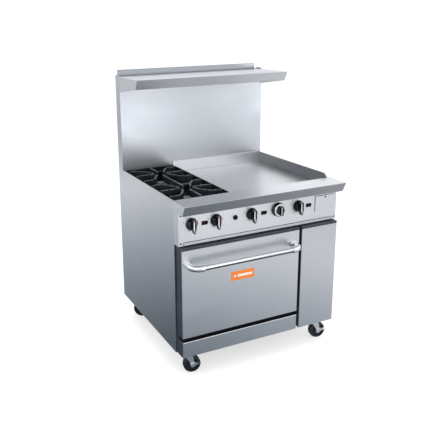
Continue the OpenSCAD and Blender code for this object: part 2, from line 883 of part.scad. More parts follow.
module fork_front_left() {
    at_caster(0) fork(true);
}

module fork_front_right() {
    at_caster(1) fork(true);
}

module fork_rear_left() {
    at_caster(2) fork(false);
}

module fork_rear_right() {
    at_caster(3) fork(false);
}

// Half section of the wheel from the axle outwards: hub, web and rounded tread
module wheel() {
    h = wheel_w / 2;
    tread = 7;
    rim = wheel_r - 12;
    dish = h - 5;
    hub = h + 2;
    color(black) translate([trail, 0, wheel_r]) rotate([90, 0, 0]) rotate_extrude($fn = 96)
        polygon(concat([[axle_r, -hub], [16, -hub], [18, -dish], [rim - 2, -dish], [rim, -h]],
            arc([wheel_r - tread, -h + tread], tread, -90, 0, 6),
            arc([wheel_r - tread, h - tread], tread, 0, 90, 6),
            [[rim, h], [rim - 2, dish], [18, dish], [16, hub], [axle_r, hub]]));
}

module wheel_front_left() {
    at_caster(0) wheel();
}

module wheel_front_right() {
    at_caster(1) wheel();
}

module wheel_rear_left() {
    at_caster(2) wheel();
}

module wheel_rear_right() {
    at_caster(3) wheel();
}

// A side lever on the axle bolt with a tread pad folded outwards
module brake_pedal() {
    reach = wheel_r - 6;
    color(zinc) difference() {
        union() {
            translate([trail, -fork_out - 0.3, wheel_r]) rotate([90, 0, 0]) linear_extrude(3) {
                circle(r = 12);
                polygon([[0, 12], [0, -12], [reach - 18, 0], [reach, 8], [reach, 16], [reach - 22, 16]]);
            }
            translate([trail + reach - 22, -fork_out - 17, wheel_r + 13]) cube([22, 16, 3]);
        }
        translate([trail, 10 - fork_out, wheel_r]) rotate([90, 0, 0]) cylinder(h = 40, r = axle_r);
    }
}

module brake_pedal_left() {
    at_caster(0) brake_pedal();
}

module brake_pedal_right() {
    at_caster(1) brake_pedal();
}

base_frame();
left_side_panel();
right_side_panel();
back_panel();
front_frame();
cooktop_frame();
front_ledge();
control_panel();
right_front_panel();
kick_panel();
riser_front();
riser_back();
high_shelf();
burner_box();
open_burners();
griddle_plate();
griddle_splash();
griddle_burners();
grease_trough();
oven_liner();
oven_hearth();
oven_burner();
rack_guides();
oven_racks();
gas_manifold();
gas_inlet_pipe();
gas_valves();
thermostat_body();
piezo_igniter();
tray_runners();
hinge_pins();
panel_screws();
caster_plates();
grate_front();
grate_rear();
crumb_tray();
grease_drawer();
door_shell();
door_liner();
door_gasket();
door_handle();
handle_elbows();
door_badge();
door_hinge_blocks();
knob_1();
knob_2();
knob_3();
knob_4();
thermostat_knob();
igniter_button();
fork_front_left();
fork_front_right();
fork_rear_left();
fork_rear_right();
wheel_front_left();
wheel_front_right();
wheel_rear_left();
wheel_rear_right();
brake_pedal_left();
brake_pedal_right();
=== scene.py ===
"""Looks of a commercial gas range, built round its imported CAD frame.

Metres, +Z up and the front faces -Y, as in the frame. Places come from the CAD nodes' boxes and joints.
"""

import json
import math

import bmesh
import bpy
from mathutils import Matrix, Vector


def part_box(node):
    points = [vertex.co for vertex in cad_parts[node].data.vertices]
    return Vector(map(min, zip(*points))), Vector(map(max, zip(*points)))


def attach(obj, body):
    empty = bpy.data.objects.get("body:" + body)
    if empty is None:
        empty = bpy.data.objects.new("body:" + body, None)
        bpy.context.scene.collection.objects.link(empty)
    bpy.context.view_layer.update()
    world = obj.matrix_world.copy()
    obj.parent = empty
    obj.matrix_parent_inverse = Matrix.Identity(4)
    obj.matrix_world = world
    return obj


MM = 0.001    # one millimetre, in the scene's metres

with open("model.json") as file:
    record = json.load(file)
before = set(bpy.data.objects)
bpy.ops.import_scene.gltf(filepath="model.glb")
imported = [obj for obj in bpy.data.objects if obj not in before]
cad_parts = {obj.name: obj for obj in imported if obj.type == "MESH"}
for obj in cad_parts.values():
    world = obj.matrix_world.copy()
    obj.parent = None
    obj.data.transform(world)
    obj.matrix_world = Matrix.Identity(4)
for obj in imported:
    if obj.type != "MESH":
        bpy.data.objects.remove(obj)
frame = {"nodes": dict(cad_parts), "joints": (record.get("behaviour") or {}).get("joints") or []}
nodes = frame["nodes"]
pivots = {j["name"]: Vector(j["pos_m"]) for j in frame["joints"] if "pos_m" in j}
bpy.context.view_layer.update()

# ------------------------------------------------------------------ camera

CAMERA_PLACE = Vector((-1.553, -2.724, 1.713))
CAMERA_YAW = math.radians(24.24)      # from +Y towards +X
CAMERA_PITCH = math.radians(14.72)    # downwards
CAMERA_ROLL = math.radians(-1.14)
CAMERA_LENS = 48.28                   # focal length in millimetres
CAMERA_SHIFT = (0.115, -0.092)        # in widths of the picture
CAMERA_REACH = 100                    # metres


def add_camera():
    """A camera at CAMERA_PLACE, turned by the three angles."""
    forward = Vector((math.sin(CAMERA_YAW) * math.cos(CAMERA_PITCH),
                      math.cos(CAMERA_YAW) * math.cos(CAMERA_PITCH), -math.sin(CAMERA_PITCH)))
    level = Vector((math.cos(CAMERA_YAW), -math.sin(CAMERA_YAW), 0))
    upright = level.cross(forward)
    right = level * math.cos(CAMERA_ROLL) + upright * math.sin(CAMERA_ROLL)
    up = upright * math.cos(CAMERA_ROLL) - level * math.sin(CAMERA_ROLL)
    data = bpy.data.cameras.new("camera")
    data.lens = CAMERA_LENS
    data.shift_x, data.shift_y = CAMERA_SHIFT
    data.clip_end = CAMERA_REACH
    camera = bpy.data.objects.new("camera", data)
    turn = Matrix((right, up, -forward)).transposed().to_4x4()
    camera.matrix_world = Matrix.Translation(CAMERA_PLACE) @ turn
    bpy.context.scene.collection.objects.link(camera)
    bpy.context.scene.camera = camera


add_camera()

# ------------------------------------------------------------------ materials


BEVEL_SAMPLES = 4
EDGE_DOT = (0.80, 0.995)    # rounded normal against true normal, at a sharp edge and on a flat face


class Surface:
    """A Principled shader whose colour, roughness and bump come from textures in object space."""

    def __init__(self, name, **sockets):
        self.material = bpy.data.materials.new(name)
        self.material.use_nodes = True
        tree = self.material.node_tree
        self.nodes, self.links = tree.nodes, tree.links
        self.shader = self.nodes["Principled BSDF"]
        self.place = self.nodes.new("ShaderNodeTexCoord").outputs["Object"]
        for socket, value in sockets.items():
            self.shader.inputs[socket.replace("_", " ")].default_value = value

    def put(self, value, socket):
        """Links a node's output to the socket, or sets the socket to a plain value."""
        if isinstance(value, bpy.types.NodeSocket):
            self.links.new(value, socket)
        else:
            socket.default_value = value

    def scaled(self, stretch):
        """Object coordinates times a stretch along each axis."""
        node = self.nodes.new("ShaderNodeMapping")
        self.links.new(self.place, node.inputs["Vector"])
        node.inputs["Scale"].default_value = stretch
        return node.outputs["Vector"]

    def noise(self, scale, stretch=(1, 1, 1), detail=3.0, distortion=0.0):
        """Noise from 0 to 1, with features about 1/scale metres across."""
        node = self.nodes.new("ShaderNodeTexNoise")
        self.links.new(self.scaled(stretch), node.inputs["Vector"])
        node.inputs["Scale"].default_value = scale
        node.inputs["Detail"].default_value = detail
        node.inputs["Distortion"].default_value = distortion
        return node.outputs["Fac"]

    def cells(self, scale, stretch=(1, 1, 1), randomness=1.0):
        """Distance to the nearest of many scattered points."""
        node = self.nodes.new("ShaderNodeTexVoronoi")
        self.links.new(self.scaled(stretch), node.inputs["Vector"])
        node.inputs["Scale"].default_value = scale
        node.inputs["Randomness"].default_value = randomness
        return node.outputs["Distance"]

    def waves(self, scale, axis, distortion=0.0):
        """Even bands across one axis."""
        node = self.nodes.new("ShaderNodeTexWave")
        node.bands_direction = axis
        self.links.new(self.place, node.inputs["Vector"])
        node.inputs["Scale"].default_value = scale
        node.inputs["Distortion"].default_value = distortion
        return node.outputs["Fac"]

    def edges(self, radius):
        """About 0 on flat faces, and rising towards 1 within the radius of an edge."""
        bevel = self.nodes.new("ShaderNodeBevel")
        bevel.samples = BEVEL_SAMPLES
        bevel.inputs["Radius"].default_value = radius
        flat = self.nodes.new("ShaderNodeNewGeometry")
        node = self.nodes.new("ShaderNodeVectorMath")
        node.operation = "DOT_PRODUCT"
        self.links.new(bevel.outputs["Normal"], node.inputs[0])
        self.links.new(flat.outputs["Normal"], node.inputs[1])
        return self.span(node.outputs["Value"], 1.0, 0.0, *EDGE_DOT)

    def facing(self, direction):
        """1 where the face looks along the direction, 0 where it is square to it, and -1 against it."""
        node = self.nodes.new("ShaderNodeVectorMath")
        node.operation = "DOT_PRODUCT"
        self.links.new(self.nodes.new("ShaderNodeTexCoord").outputs["Normal"], node.inputs[0])
        node.inputs[1].default_value = direction
        return node.outputs["Value"]

    def span(self, value, low, high, start=0.0, stop=1.0):
        """Maps start..stop onto low..high, and holds the ends."""
        node = self.nodes.new("ShaderNodeMapRange")
        self.put(value, node.inputs["Value"])
        ends = {"From Min": start, "From Max": stop, "To Min": low, "To Max": high}
        for socket, number in ends.items():
            node.inputs[socket].default_value = number
        return node.outputs["Result"]

    def maths(self, operation, a, b):
        """The operation on two values, each a socket or a number."""
        node = self.nodes.new("ShaderNodeMath")
        node.operation = operation
        self.put(a, node.inputs[0])
        self.put(b, node.inputs[1])
        return node.outputs[0]

    def mix(self, share, a, b):
        """Colour a where share is 0, and b where it is 1."""
        node = self.nodes.new("ShaderNodeMix")
        node.data_type = "RGBA"
        self.put(share, node.inputs["Factor"])
        for value, socket in ((a, node.inputs["A"]), (b, node.inputs["B"])):
            self.put(value if isinstance(value, bpy.types.NodeSocket) else (*value, 1.0), socket)
        return node.outputs["Result"]

    def finish(self, colour, roughness, height=None, depth=0.0):
        """Connects the textures. The bump is depth metres deep from height 0 to 1."""
        self.put(colour, self.shader.inputs["Base Color"])
        self.put(roughness, self.shader.inputs["Roughness"])
        if height is not None:
            node = self.nodes.new("ShaderNodeBump")
            node.inputs["Strength"].default_value = 1.0
            node.inputs["Distance"].default_value = depth
            self.links.new(height, node.inputs["Height"])
            self.links.new(node.outputs["Normal"], self.shader.inputs["Normal"])
        return self.material


def tint(colour, factor, lift=0.0):
    """The colour times a factor, plus an even lift."""
    return tuple(c * factor + lift for c in colour)


def brushed(name, grain, colour=(0.60, 0.615, 0.635), roughness=0.30, darkening=None):
    """Sheet steel brushed along the axis of number grain, with hazy patches and wipe marks.

    darkening is a direction and a factor: faces turned that way are darkened by the factor, as painted
    shade.
    """
    s = Surface(name, Metallic=1.0)

    def streaks(across, along, detail):
        """Noise drawn out along the grain, with the given numbers of features to a metre."""
        return s.noise(1.0, [along if axis == grain else across for axis in range(3)], detail)

    hairs = streaks(across=700.0, along=6.0, detail=1)
    bands = streaks(across=28.0, along=0.9, detail=2)
    haze = s.noise(1.8, detail=2, distortion=0.4)
    wipes = s.noise(3.5, (1.0, 1.0, 1.8), detail=2, distortion=0.6)
    tone = s.mix(s.span(bands, 0, 1, 0.3, 0.7), tint(colour, 0.985), tint(colour, 1.012))
    tone = s.mix(s.span(haze, 0.0, 0.5, 0.35, 0.75), tone, tint(colour, 0.95))
    # painted shade: faces turned along the direction are darkened by the factor
    if darkening:
        direction, factor = darkening
        tone = s.mix(s.span(s.facing(direction), 0, 1, 0.3, 0.7), tone, tint(colour, factor))
    rough = s.maths("ADD", s.span(hairs, -0.03, 0.03, 0.3, 0.7), s.span(wipes, -0.025, 0.03, 0.3, 0.7))
    rough = s.maths("ADD", rough, roughness)
    return s.finish(tone, rough, hairs, 0.001 * MM)


def chrome(name, colour=(0.82, 0.83, 0.85), roughness=0.07, darkening=None):
    """Bright plating with faint smudges and pinhead pits, and painted shade on faces turned one way, as in
    brushed().
    """
    s = Surface(name, Metallic=1.0)
    smudge = s.noise(26.0, detail=5, distortion=0.8)
    pits = s.span(s.cells(420.0), 1, 0, 0.0, 0.10)
    tone = s.mix(s.span(smudge, 0, 0.4, 0.4, 0.8), colour, tint(colour, 0.86))
    # painted shade: faces turned along the direction are darkened by the factor
    if darkening:
        direction, factor = darkening
        tone = s.mix(s.span(s.facing(direction), 0, 1, 0.55, 0.85), tone, tint(colour, factor))
    rough = s.maths("ADD", s.span(smudge, 0.0, 0.10, 0.45, 0.75), roughness)
    return s.finish(tone, rough, pits, -0.02 * MM)


def enamel(name, colour, speckle=None, roughness=0.32, gloss=0.5):
    """Painted or enamelled sheet: slight orange peel, dust, and metal showing at worn edges."""
    s = Surface(name, Specular_IOR_Level=gloss)
    peel = s.noise(240.0, detail=2)
    dust = s.noise(9.0, detail=6, distortion=0.5)
    tone = s.mix(s.span(dust, 0, 0.6, 0.45, 0.8), colour, tint(colour, 1.3, 0.012))
    if speckle:
        flecks = s.span(s.cells(260.0), 1, 0, 0.05, 0.16)
        tone = s.mix(s.maths("MULTIPLY", flecks, 0.7), tone, speckle)
    worn = s.maths("MULTIPLY", s.edges(1.6 * MM), s.span(s.noise(60.0, detail=4), 0, 0.8, 0.45, 0.65))
    tone = s.mix(worn, tone, tint(colour, 1.5, 0.06))
    return s.finish(tone, s.span(dust, roughness - 0.06, roughness + 0.12, 0.35, 0.75), peel, 0.04 * MM)


def cast_iron(name, colour=(0.006, 0.007, 0.009), rub_and_highlight=(0.17, 0.18, 0.205)):
    """Sand-cast iron: coarse skin, soot in patches, edges lighter as wear and painted highlight, and tops
    lighter as painted highlight.
    """
    s = Surface(name, Specular_IOR_Level=0.35)
    skin = s.noise(420.0, detail=6)
    lumps = s.noise(70.0, detail=4)
    soot = s.noise(16.0, detail=5, distortion=0.4)
    tone = s.mix(s.span(soot, 0, 1, 0.4, 0.65), colour, tint(colour, 1.9))
    # painted highlight: faces turned up get the lighter colour, in patches
    upward_highlight = s.span(s.facing((0, 0, 1)), 0, 0.75, 0.6, 0.95)
    top = s.maths("MULTIPLY", upward_highlight, s.span(lumps, 0.2, 1.0, 0.35, 0.6))
    # edges, lighter as wear and in part as painted highlight, joined with the painted highlight on the tops
    worn = s.maths("MAXIMUM", s.edges(2.8 * MM), top)
    rub_and_highlight_mask = s.maths("MULTIPLY", worn, s.span(lumps, 0.35, 1.0, 0.3, 0.6))
    tone = s.mix(rub_and_highlight_mask, tone, rub_and_highlight)
    rough = s.maths("SUBTRACT", s.span(soot, 0.42, 0.66, 0.35, 0.7), s.maths("MULTIPLY", rub_and_highlight_mask, 0.14))
    return s.finish(tone, rough, s.maths("ADD", skin, lumps), 0.35 * MM)


def griddle_steel(name, colour=(0.70, 0.71, 0.73), tinted=(0.65, 0.65, 0.66), spotted=(0.54, 0.54, 0.56)):
    """Ground plate: marks of the stone along its depth, scraper arcs, faint heat tints and spots."""
    s = Surface(name, Metallic=1.0)
    ground = s.noise(1.0, (420.0, 3.0, 420.0), detail=2)
    arcs = s.noise(1.0, (9.0, 60.0, 1.0), detail=2, distortion=1.5)
    heat = s.noise(3.4, detail=3, distortion=0.4)
    spots = s.noise(34.0, detail=5)
    tone = s.mix(s.span(ground, 0, 1, 0.3, 0.7), tint(colour, 0.97), tint(colour, 1.03))
    tone = s.mix(s.span(heat, 0, 0.30, 0.45, 0.75), tone, tinted)
    tone = s.mix(s.span(spots, 0, 0.25, 0.62, 0.80), tone, spotted)
    rough = s.maths("ADD", s.span(ground, 0.33, 0.39, 0.3, 0.7), s.span(arcs, -0.03, 0.04, 0.35, 0.7))
    return s.finish(tone, rough, s.maths("ADD", ground, arcs), 0.006 * MM)


def plated(name, colour=(0.58, 0.59, 0.61), roughness=0.34, band=None):
    """Zinc or brass: spangled tone, dull in the recesses. Bands across one axis stand for a thread."""
    s = Surface(name, Metallic=1.0)
    spangle = s.cells(130.0)
    darkening = s.noise(40.0, detail=5)
    tone = s.mix(s.span(spangle, 0, 1, 0.1, 0.8), tint(colour, 0.90), tint(colour, 1.08))
    tone = s.mix(s.span(darkening, 0, 0.5, 0.5, 0.75), tone, tint(colour, 0.62))
    rough = s.span(darkening, roughness - 0.08, roughness + 0.14, 0.3, 0.7)
    if band:
        return s.finish(tone, rough, s.waves(150.0, band), 0.6 * MM)
    return s.finish(tone, rough, darkening, 0.06 * MM)


def moulded(name, colour, roughness=0.22, grain=900.0, rub_and_highlight=0.05):
    """Moulded plastic or rubber: fine grain, finger wear, and softly lit edges."""
    s = Surface(name, Specular_IOR_Level=0.55)
    fine = s.noise(grain, detail=3)
    touch = s.noise(38.0, detail=5, distortion=0.5)
    tone = s.mix(s.span(touch, 0, 0.6, 0.45, 0.75), colour, tint(colour, 1.4, 0.006))
    # painted highlight: edges are lifted lighter by rub_and_highlight
    tone = s.mix(s.maths("MULTIPLY", s.edges(1.2 * MM), 0.5), tone, tint(colour, 1.0, rub_and_highlight))
    return s.finish(tone, s.span(touch, roughness, roughness + 0.16, 0.35, 0.75), fine, 0.03 * MM)


def braid(name, colour=(0.055, 0.055, 0.058)):
    """Woven glass-fibre seal."""
    s = Surface(name)
    strands = s.maths("MULTIPLY", s.waves(110.0, "X", 2.0), s.waves(110.0, "Z", 2.0))
    fluff = s.noise(300.0, detail=4)
    tone = s.mix(strands, tint(colour, 0.5), tint(colour, 1.7))
    return s.finish(tone, s.span(fluff, 0.75, 0.95), s.maths("ADD", strands, fluff), 0.5 * MM)


# Brushed steel runs along X (0) or Y (1)
steel_x = brushed("steel_grain_x", 0)
steel_y = brushed("steel_grain_y", 1)
steel_door = brushed("steel_door", 0, (0.64, 0.655, 0.675), 0.31)
# steel_panel is a lighter and steel_riser a darker copy of the same brushed steel: painted light on the
# control panel and drawer, painted shade on the risers
steel_panel = brushed("steel_panel", 0, (0.70, 0.715, 0.735), 0.35)
steel_riser = brushed("steel_riser", 0, (0.55, 0.57, 0.605), 0.34)
steel_shelf = brushed("steel_shelf", 0, (0.62, 0.635, 0.655), 0.44)
# The last argument of these four is painted shade: it darkens the splash's inner face, the ledge's sloped
# front and the undersides of the bar and elbows.
steel_splash = brushed("steel_splash", 1, (0.84, 0.85, 0.87), 0.38, ((-1, 0, 0), 0.28))
steel_ledge = brushed("steel_ledge", 0, (0.66, 0.675, 0.695), 0.32, ((0, -0.94, -0.34), 0.50))
bar_steel = brushed("bar_steel", 0, (0.78, 0.79, 0.81), 0.24, ((0, -0.5, -0.87), 0.10))
elbow_chrome = chrome("elbow_chrome", (0.82, 0.83, 0.85), 0.12, ((0, -0.3, -0.95), 0.10))
wire_chrome = chrome("wire_chrome", (0.70, 0.71, 0.73), 0.14)
trim_chrome = chrome("trim_chrome", (0.97, 0.975, 0.98), 0.30)
black_enamel = enamel("black_enamel", (0.006, 0.006, 0.007), roughness=0.5, gloss=0.2)
box_enamel = enamel("box_enamel", (0.004, 0.0045, 0.006), roughness=0.55, gloss=0.15)
# dark slate: painted shade on the edges of the door, panels and drawer, and the dark seams of the handle
slate_shade_and_seam = enamel("slate_shade_and_seam", (0.040, 0.047, 0.064), roughness=0.5, gloss=0.25)
oven_enamel = enamel("oven_enamel", (0.035, 0.038, 0.044), speckle=(0.30, 0.31, 0.33))
dark_enamel = enamel("dark_enamel", (0.06, 0.062, 0.066), roughness=0.5)
orange = enamel("orange_enamel", (0.95, 0.235, 0.02), roughness=0.35, gloss=0.3)
white_print = enamel("white_print", (0.86, 0.85, 0.83), roughness=0.4, gloss=0.3)
red_print = enamel("red_print", (0.70, 0.02, 0.03), roughness=0.35, gloss=0.3)
iron = cast_iron("cast_iron")
burner_iron = cast_iron("burner_iron", (0.035, 0.038, 0.045), (0.16, 0.17, 0.19))
griddle = griddle_steel("griddle_ground")
brass = plated("brass", (0.66, 0.50, 0.24), 0.30)
zinc = plated("zinc", (0.78, 0.79, 0.82), 0.34)
pipe_zinc = plated("threaded_zinc", band="Y")
knob_black = moulded("knob_black", (0.003, 0.003, 0.004), 0.20)
tyre = moulded("tyre_rubber", (0.007, 0.007, 0.008), 0.45, 500.0, 0.02)
seal = braid("seal")

# The nodes that wear each material
SKINS = {
    steel_ledge: ["front_ledge"],
    steel_panel: ["control_panel", "grease_drawer"],
    steel_x: ["back_panel", "kick_panel", "right_front_panel", "grease_trough",
              "crumb_tray", "door_liner"],
    steel_riser: ["riser_front", "riser_back"],
    steel_shelf: ["high_shelf"],
    steel_splash: ["griddle_splash"],
    steel_y: ["left_side_panel", "right_side_panel", "cooktop_frame"],
    steel_door: ["door_shell"],
    bar_steel: ["door_handle"],
    elbow_chrome: ["handle_elbows"],
    wire_chrome: ["rack_guides", "oven_racks"],
    black_enamel: ["base_frame", "front_frame", "tray_runners", "gas_manifold",
                   "hinge_pins", "door_hinge_blocks"],
    box_enamel: ["burner_box", "igniter_button", "panel_screws"],
    oven_enamel: ["oven_liner", "oven_hearth"],
    dark_enamel: ["griddle_burners", "oven_burner"],
    iron: ["grate_front", "grate_rear"],
    burner_iron: ["open_burners"],
    griddle: ["griddle_plate"],
    brass: ["gas_valves"],
    pipe_zinc: ["gas_inlet_pipe"],
    zinc: ["thermostat_body", "caster_plates",
           "fork_front_left", "fork_front_right", "fork_rear_left", "fork_rear_right",
           "brake_pedal_left", "brake_pedal_right"],
    knob_black: ["knob_1", "knob_2", "knob_3", "knob_4", "thermostat_knob", "piezo_igniter"],
    tyre: ["wheel_front_left", "wheel_front_right", "wheel_rear_left", "wheel_rear_right"],
    seal: ["door_gasket"],
    orange: ["door_badge"],
}

for material, names in SKINS.items():
    for name in names:
        for material_slot in nodes[name].material_slots:
            material_slot.material = material

# ------------------------------------------------------------------ softened edges

# Width and segments of the rounded edges, and the nodes that have them
EDGES = {
    (0.8 * MM, 2): [
        "left_side_panel", "right_side_panel", "cooktop_frame", "front_ledge", "right_front_panel",
        "kick_panel", "riser_front", "riser_back", "high_shelf", "griddle_splash", "crumb_tray",
        "grease_drawer", "door_shell", "door_liner", "base_frame", "front_frame"],
    (1.2 * MM, 2): [
        "griddle_plate", "knob_1", "knob_2", "knob_3", "knob_4", "thermostat_knob", "igniter_button"],
    (0.4 * MM, 2): [
        "door_badge", "panel_screws", "brake_pedal_left", "brake_pedal_right",
        "fork_front_left", "fork_front_right", "fork_rear_left", "fork_rear_right"],
    (2.2 * MM, 3): ["grate_front", "grate_rear"],
}

WELD_GAP = 0.01 * MM
ROUND_FROM = math.radians(32)    # sharper edges than this are rounded
FLAT_WEIGHT = 90


def soften(obj, width, segments=2):
    """Welds the mesh's split edges, rounds its sharp ones and keeps the shading of its large faces flat."""
    weld = obj.modifiers.new("weld", "WELD")
    weld.merge_threshold = WELD_GAP
    bevel = obj.modifiers.new("round", "BEVEL")
    bevel.width = width
    bevel.segments = segments
    bevel.limit_method = "ANGLE"
    bevel.angle_limit = ROUND_FROM
    bevel.use_clamp_overlap = True
    flat = obj.modifiers.new("flat", "WEIGHTED_NORMAL")
    flat.mode = "FACE_AREA"
    flat.weight = FLAT_WEIGHT


for (width, segments), names in EDGES.items():
    for name in names:
        soften(nodes[name], width, segments)

# ------------------------------------------------------------------ pieces


SAME_POINT = 0.001 * MM
SMOOTH_TO = math.radians(35)    # faces that meet at less than this are shaded as one


def in_metres(points, x=0.0, z=0.0):
    """Pairs in millimetres as pairs in metres, moved by (x, z)."""
    return [(x + a * MM, z + b * MM) for a, b in points]


def add_piece(name, build, body, material, edge=0.0):
    """A piece whose mesh the function build makes in a bmesh, riding on a body."""
    bm = bmesh.new()
    build(bm)
    bmesh.ops.remove_doubles(bm, verts=bm.verts, dist=SAME_POINT)
    bmesh.ops.recalc_face_normals(bm, faces=bm.faces)
    mesh = bpy.data.meshes.new(name)
    bm.to_mesh(mesh)
    bm.free()
    mesh.materials.append(material)
    mesh.shade_smooth()
    mesh.set_sharp_from_angle(angle=SMOOTH_TO)
    obj = bpy.data.objects.new(name, mesh)
    bpy.context.scene.collection.objects.link(obj)
    if edge:
        soften(obj, edge)
    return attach(obj, body)


def lathe(bm, centre, axis, profile, steps=48):
    """Turns a closed profile of (radius, distance along the axis) points round the axis."""
    axis = Vector(axis).normalized()
    side = axis.orthogonal().normalized()
    verts = [bm.verts.new(Vector(centre) + side * r + axis * t) for r, t in profile]
    edges = [bm.edges.new((a, b)) for a, b in zip(verts, verts[1:] + verts[:1])]
    bmesh.ops.spin(bm, geom=verts + edges, cent=centre, axis=axis, angle=2 * math.pi, steps=steps,
                   use_merge=True)


def plate(bm, outline, y0, y1):
    """A plate with an outline of (x, z) points, from y0 to y1."""
    front = [bm.verts.new((x, y0, z)) for x, z in outline]
    back = [bm.verts.new((x, y1, z)) for x, z in outline]
    bm.faces.new(front)
    bm.faces.new(back[::-1])
    for i in range(len(outline)):
        j = (i + 1) % len(outline)
        bm.faces.new((front[i], front[j], back[j], back[i]))


def rounded(x0, x1, z0, z1, radius, steps=5):
    """Outline of a rectangle with round corners."""
    corners = [(x1 - radius, z1 - radius, 0), (x0 + radius, z1 - radius, 90),
               (x0 + radius, z0 + radius, 180), (x1 - radius, z0 + radius, 270)]
    return [(cx + radius * math.cos(math.radians(a + 90 * i / steps)),
             cz + radius * math.sin(math.radians(a + 90 * i / steps)))
            for cx, cz, a in corners for i in range(steps + 1)]


# Outlines on a knob's grip, in millimetres right of its axis and above it
KNOB_STRIP = [(-7.4, 22), (-3.0, 22), (-0.8, -33), (-2.4, -33), (-7.8, -12)]
KNOB_FLANK = [(8.1, 22), (9.8, 22), (10.8, -12), (3.2, -38), (1.8, -38), (9.1, -12)]
# The red mark on its skirt: an outer and an inner arc, each a radius in millimetres and its angles
KNOB_MARK = [(29.0, range(-2, 35, 6)), (21.5, range(34, -3, -6))]
MARK_FRONT, MARK_BACK = 13.2 * MM, 8.5 * MM    # in front of the knob's joint


def knob_trim(number):
    """Chrome on the grip's front and flank, and a red mark on the skirt, of one knob."""
    body = f"knob_{number}_body"
    pivot = pivots[f"knob_{number}_turn"]
    x, z = pivot.x, pivot.z
    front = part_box(f"knob_{number}")[0].y

    def strip(bm):
        plate(bm, in_metres(KNOB_STRIP, x, z), front - 0.7 * MM, front + 0.3 * MM)

    def flank(bm):
        plate(bm, in_metres(KNOB_FLANK, x, z), front + 0.5 * MM, front + 22 * MM)

    def mark(bm):
        outline = [(x + r * MM * math.cos(math.radians(a)), z + r * MM * math.sin(math.radians(a)))
                   for r, sweep in KNOB_MARK for a in sweep]
        plate(bm, outline, pivot.y - MARK_FRONT, pivot.y - MARK_BACK)

    add_piece(f"knob_{number}_strip", strip, body, trim_chrome, 0.3 * MM)
    add_piece(f"knob_{number}_flank", flank, body, trim_chrome, 0.4 * MM)
    add_piece(f"knob_{number}_mark", mark, body, red_print, 0.2 * MM)


for number in range(1, 5):
    knob_trim(number)


# Section of the dial ring and outline of one tick: millimetres from the axis, and forwards or across
DIAL_RING = [(21.5, -2), (31, -2), (31, 0.4), (29, 1.6), (23.5, 1.6), (21.5, 0.8)]
DIAL_TICK = [(24.5, 0.5), (24.5, -0.5), (28, -0.5), (28, 0.5)]
DIAL_STRIP = [(-5, -21), (-1.8, 21)]    # its corners, as on a knob's grip
DIAL_FACE = 18.5 * MM                   # in front of the dial's joint
TICK_COUNT = 11
TICK_START, TICK_STEP = 225, 27         # degrees


def thermostat_trim():
    """A pale dial ring with tick marks, and a bright strip on the grip."""
    pivot = pivots["thermostat_turn"]
    x, z = pivot.x, pivot.z
    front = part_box("thermostat_knob")[0].y
    face = pivot.y - DIAL_FACE

    def ring(bm):
        lathe(bm, (x, face, z), (0, -1, 0), in_metres(DIAL_RING), 64)

    def ticks(bm):
        for i in range(TICK_COUNT):
            a = math.radians(TICK_START - TICK_STEP * i)
            out, turn = Vector((math.cos(a), 0, math.sin(a))), Vector((-math.sin(a), 0, math.cos(a)))
            points = [(x + out.x * r + turn.x * w, z + out.z * r + turn.z * w)
                      for r, w in in_metres(DIAL_TICK)]
            plate(bm, points, face - 1.8 * MM, face - 1.2 * MM)

    def strip(bm):
        (x0, z0), (x1, z1) = in_metres(DIAL_STRIP, x, z)
        plate(bm, rounded(x0, x1, z0, z1, 1.2 * MM), front - 0.6 * MM, front + 0.3 * MM)

    add_piece("thermostat_ring", ring, "thermostat_dial", trim_chrome, 0.2 * MM)
    add_piece("thermostat_ticks", ticks, "thermostat_dial", knob_black)
    add_piece("thermostat_strip", strip, "thermostat_dial", trim_chrome, 0.2 * MM)


thermostat_trim()


def block(bm, low, high):
    """A block between two corners."""
    plate(bm, [(low[0], low[2]), (high[0], low[2]), (high[0], high[2]), (low[0], high[2])], low[1], high[1])


def add_block(name, low, high, body, material, edge=0.0):
    """A piece that is one block."""
    return add_piece(name, lambda bm: block(bm, low, high), body, material, edge)


CAP_THICK = 0.5 * MM     # how far the dark pieces stand off the steel
CAP_INSET = 1 * MM       # how far they stop short of its corners
STEEL_SKIN = 2.5 * MM    # bright steel that shows in front of a cap
TOP_BAND = 13 * MM       # height of the dark band along a top
CAP_REACH = 30 * MM      # how far behind the control panel's face the top and right caps may reach


def painted_shade_edges():
    """Dark sheets along the tops of the door and the right panel, and on the edges behind their faces:
    painted shade for their dark top flanges and the gaps beside them.
    """
    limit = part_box("control_panel")[0].y + CAP_REACH
    for name, node, body, sides in (("door", "door_shell", "oven_door", "TLR"),
                                    ("right_panel", "right_front_panel", "range_body", "TL"),
                                    ("kick", "kick_panel", "range_body", "L")):
        low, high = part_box(node)
        y0, y1 = low.y + STEEL_SKIN, min(high.y, limit) - CAP_INSET
        z0 = low.z + CAP_INSET
        if "T" in sides:
            add_block(name + "_top_shade_cap", (low.x + CAP_INSET, y0, high.z),
                      (high.x - CAP_INSET, y1, high.z + CAP_THICK), body, slate_shade_and_seam)
            add_block(name + "_top_shade_band", (low.x, low.y - CAP_THICK, high.z - TOP_BAND),
                      (high.x, low.y, high.z + CAP_THICK), body, slate_shade_and_seam, 0.2 * MM)
        if "L" in sides:
            add_block(name + "_left_shade_cap", (low.x - CAP_THICK, y0, z0), (low.x, high.y - CAP_INSET, high.z),
                      body, slate_shade_and_seam)
        if "R" in sides:
            add_block(name + "_right_shade_cap", (high.x, y0, z0), (high.x + CAP_THICK, y1, high.z),
                      body, slate_shade_and_seam)


painted_shade_edges()


